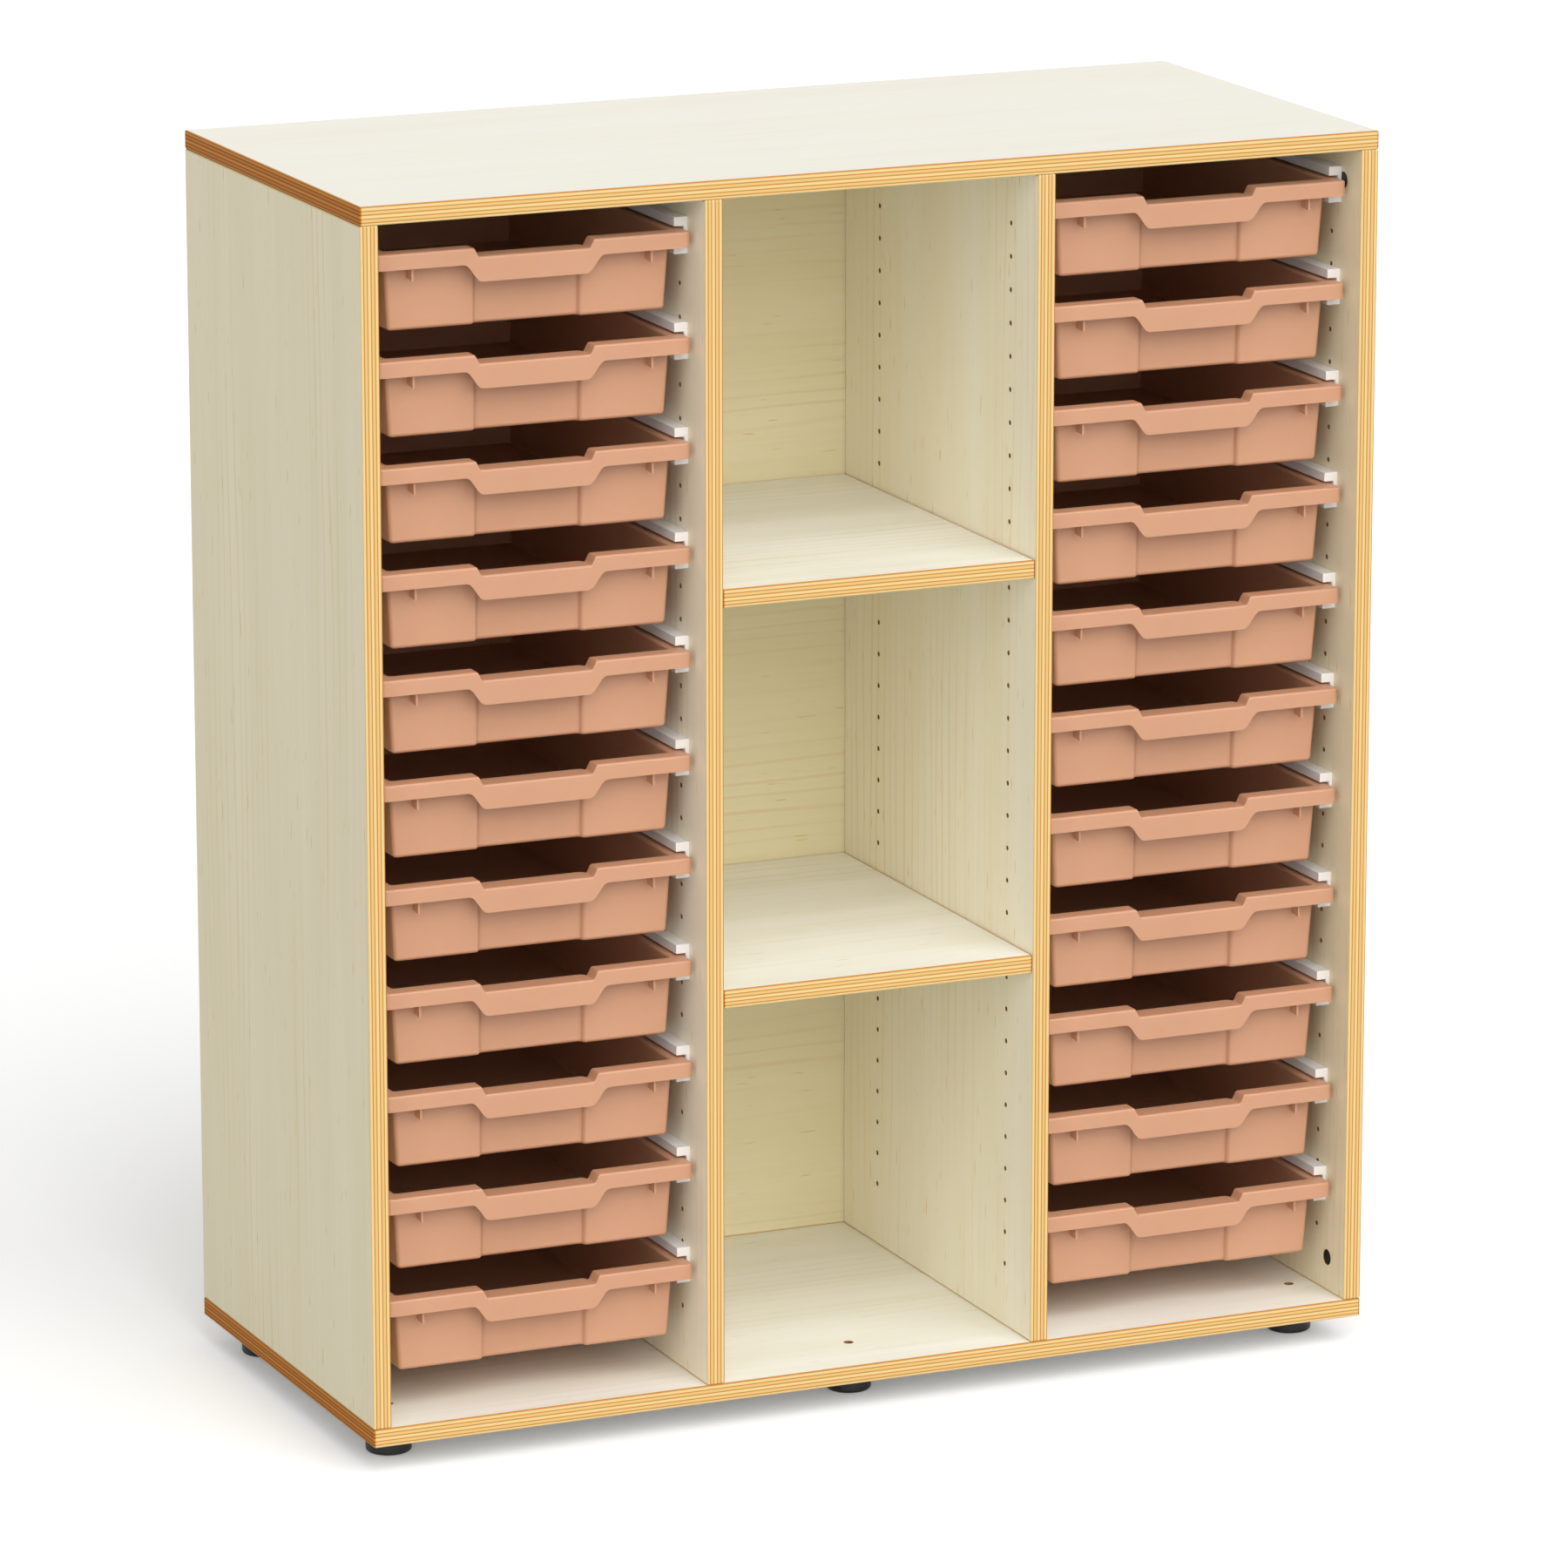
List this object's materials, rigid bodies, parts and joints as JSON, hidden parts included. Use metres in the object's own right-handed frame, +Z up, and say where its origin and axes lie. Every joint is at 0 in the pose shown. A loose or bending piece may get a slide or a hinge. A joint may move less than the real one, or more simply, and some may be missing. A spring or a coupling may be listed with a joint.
{
  "type": "classroom tray storage unit",
  "caption": "Board storage unit with columns of sliding plastic trays on channel runners beside an open shelved bay, standing on round levelling feet.",
  "frame": {"origin": "on the floor, under the middle of the unit", "axes": "+X to the right along the front, +Y from the open front to the back, +Z up"},
  "size_m": [1.038, 0.463, 1.2055],
  "materials": {
    "maple_board": "pale maple laminate, satin",
    "tray_plastic": "satin moulded plastic",
    "black_plastic": "matt moulded plastic",
    "insert_steel": "zinc plated",
    "dowel_beech": "raw turned wood",
    "cam_black": "satin"
  },
  "bodies": {
    "carcass": {"top_panel": "maple_board", "bottom_panel": "maple_board", "back_panel": "maple_board", "left_side_panel": "maple_board", "right_side_panel": "maple_board", "left_divider": "maple_board", "right_divider": "maple_board", "lower_shelf": "maple_board", "upper_shelf": "maple_board", "foot_insert_front_left": "insert_steel", "foot_insert_front_middle": "insert_steel", "foot_insert_front_right": "insert_steel", "foot_insert_rear_left": "insert_steel", "foot_insert_rear_middle": "insert_steel", "foot_insert_rear_right": "insert_steel", "shelf_dowel_lower_left_front": "dowel_beech", "shelf_dowel_lower_right_front": "dowel_beech", "shelf_dowel_lower_left_rear": "dowel_beech", "shelf_dowel_lower_right_rear": "dowel_beech", "shelf_dowel_upper_left_front": "dowel_beech", "shelf_dowel_upper_right_front": "dowel_beech", "shelf_dowel_upper_left_rear": "dowel_beech", "shelf_dowel_upper_right_rear": "dowel_beech", "cam_lock_left_top_front": "cam_black", "cam_lock_right_top_front": "cam_black", "cam_lock_left_bottom_front": "cam_black", "cam_lock_right_bottom_front": "cam_black", "cam_lock_left_bottom_rear": "cam_black", "cam_lock_right_bottom_rear": "cam_black"},
    "tray_left_01": {"tray_left_01": "tray_plastic"},
    "tray_left_02": {"tray_left_02": "tray_plastic"},
    "tray_left_03": {"tray_left_03": "tray_plastic"},
    "tray_left_04": {"tray_left_04": "tray_plastic"},
    "tray_left_05": {"tray_left_05": "tray_plastic"},
    "tray_left_06": {"tray_left_06": "tray_plastic"},
    "tray_left_07": {"tray_left_07": "tray_plastic"},
    "tray_left_08": {"tray_left_08": "tray_plastic"},
    "tray_left_09": {"tray_left_09": "tray_plastic"},
    "tray_left_10": {"tray_left_10": "tray_plastic"},
    "tray_left_11": {"tray_left_11": "tray_plastic"},
    "tray_right_01": {"tray_right_01": "tray_plastic"},
    "tray_right_02": {"tray_right_02": "tray_plastic"},
    "tray_right_03": {"tray_right_03": "tray_plastic"},
    "tray_right_04": {"tray_right_04": "tray_plastic"},
    "tray_right_05": {"tray_right_05": "tray_plastic"},
    "tray_right_06": {"tray_right_06": "tray_plastic"},
    "tray_right_07": {"tray_right_07": "tray_plastic"},
    "tray_right_08": {"tray_right_08": "tray_plastic"},
    "tray_right_09": {"tray_right_09": "tray_plastic"},
    "tray_right_10": {"tray_right_10": "tray_plastic"},
    "tray_right_11": {"tray_right_11": "tray_plastic"},
    "foot_front_left": {"foot_front_left": "black_plastic"},
    "foot_front_middle": {"foot_front_middle": "black_plastic"},
    "foot_front_right": {"foot_front_right": "black_plastic"},
    "foot_rear_left": {"foot_rear_left": "black_plastic"},
    "foot_rear_middle": {"foot_rear_middle": "black_plastic"},
    "foot_rear_right": {"foot_rear_right": "black_plastic"}
  },
  "joints": [
    {"name": "tray_left_01_slide", "type": "slide", "parent": "carcass", "child": "tray_left_01", "axis": [0, -1, 0], "range_m": [0, 0.36]},
    {"name": "tray_left_02_slide", "type": "slide", "parent": "carcass", "child": "tray_left_02", "axis": [0, -1, 0], "range_m": [0, 0.36]},
    {"name": "tray_left_03_slide", "type": "slide", "parent": "carcass", "child": "tray_left_03", "axis": [0, -1, 0], "range_m": [0, 0.36]},
    {"name": "tray_left_04_slide", "type": "slide", "parent": "carcass", "child": "tray_left_04", "axis": [0, -1, 0], "range_m": [0, 0.36]},
    {"name": "tray_left_05_slide", "type": "slide", "parent": "carcass", "child": "tray_left_05", "axis": [0, -1, 0], "range_m": [0, 0.36]},
    {"name": "tray_left_06_slide", "type": "slide", "parent": "carcass", "child": "tray_left_06", "axis": [0, -1, 0], "range_m": [0, 0.36]},
    {"name": "tray_left_07_slide", "type": "slide", "parent": "carcass", "child": "tray_left_07", "axis": [0, -1, 0], "range_m": [0, 0.36]},
    {"name": "tray_left_08_slide", "type": "slide", "parent": "carcass", "child": "tray_left_08", "axis": [0, -1, 0], "range_m": [0, 0.36]},
    {"name": "tray_left_09_slide", "type": "slide", "parent": "carcass", "child": "tray_left_09", "axis": [0, -1, 0], "range_m": [0, 0.36]},
    {"name": "tray_left_10_slide", "type": "slide", "parent": "carcass", "child": "tray_left_10", "axis": [0, -1, 0], "range_m": [0, 0.36]},
    {"name": "tray_left_11_slide", "type": "slide", "parent": "carcass", "child": "tray_left_11", "axis": [0, -1, 0], "range_m": [0, 0.36]},
    {"name": "tray_right_01_slide", "type": "slide", "parent": "carcass", "child": "tray_right_01", "axis": [0, -1, 0], "range_m": [0, 0.36]},
    {"name": "tray_right_02_slide", "type": "slide", "parent": "carcass", "child": "tray_right_02", "axis": [0, -1, 0], "range_m": [0, 0.36]},
    {"name": "tray_right_03_slide", "type": "slide", "parent": "carcass", "child": "tray_right_03", "axis": [0, -1, 0], "range_m": [0, 0.36]},
    {"name": "tray_right_04_slide", "type": "slide", "parent": "carcass", "child": "tray_right_04", "axis": [0, -1, 0], "range_m": [0, 0.36]},
    {"name": "tray_right_05_slide", "type": "slide", "parent": "carcass", "child": "tray_right_05", "axis": [0, -1, 0], "range_m": [0, 0.36]},
    {"name": "tray_right_06_slide", "type": "slide", "parent": "carcass", "child": "tray_right_06", "axis": [0, -1, 0], "range_m": [0, 0.36]},
    {"name": "tray_right_07_slide", "type": "slide", "parent": "carcass", "child": "tray_right_07", "axis": [0, -1, 0], "range_m": [0, 0.36]},
    {"name": "tray_right_08_slide", "type": "slide", "parent": "carcass", "child": "tray_right_08", "axis": [0, -1, 0], "range_m": [0, 0.36]},
    {"name": "tray_right_09_slide", "type": "slide", "parent": "carcass", "child": "tray_right_09", "axis": [0, -1, 0], "range_m": [0, 0.36]},
    {"name": "tray_right_10_slide", "type": "slide", "parent": "carcass", "child": "tray_right_10", "axis": [0, -1, 0], "range_m": [0, 0.36]},
    {"name": "tray_right_11_slide", "type": "slide", "parent": "carcass", "child": "tray_right_11", "axis": [0, -1, 0], "range_m": [0, 0.36]},
    {"name": "foot_front_left_turn", "type": "hinge", "parent": "carcass", "child": "foot_front_left", "pos_m": [-0.477, -0.16, 0], "axis": [0, 0, 1], "range_deg": [-180, 180]},
    {"name": "foot_front_middle_turn", "type": "hinge", "parent": "carcass", "child": "foot_front_middle", "pos_m": [0, -0.16, 0], "axis": [0, 0, 1], "range_deg": [-180, 180]},
    {"name": "foot_front_right_turn", "type": "hinge", "parent": "carcass", "child": "foot_front_right", "pos_m": [0.477, -0.16, 0], "axis": [0, 0, 1], "range_deg": [-180, 180]},
    {"name": "foot_rear_left_turn", "type": "hinge", "parent": "carcass", "child": "foot_rear_left", "pos_m": [-0.477, 0.1755, 0], "axis": [0, 0, 1], "range_deg": [-180, 180]},
    {"name": "foot_rear_middle_turn", "type": "hinge", "parent": "carcass", "child": "foot_rear_middle", "pos_m": [0, 0.1755, 0], "axis": [0, 0, 1], "range_deg": [-180, 180]},
    {"name": "foot_rear_right_turn", "type": "hinge", "parent": "carcass", "child": "foot_rear_right", "pos_m": [0.477, 0.1755, 0], "axis": [0, 0, 1], "range_deg": [-180, 180]}
  ]
}
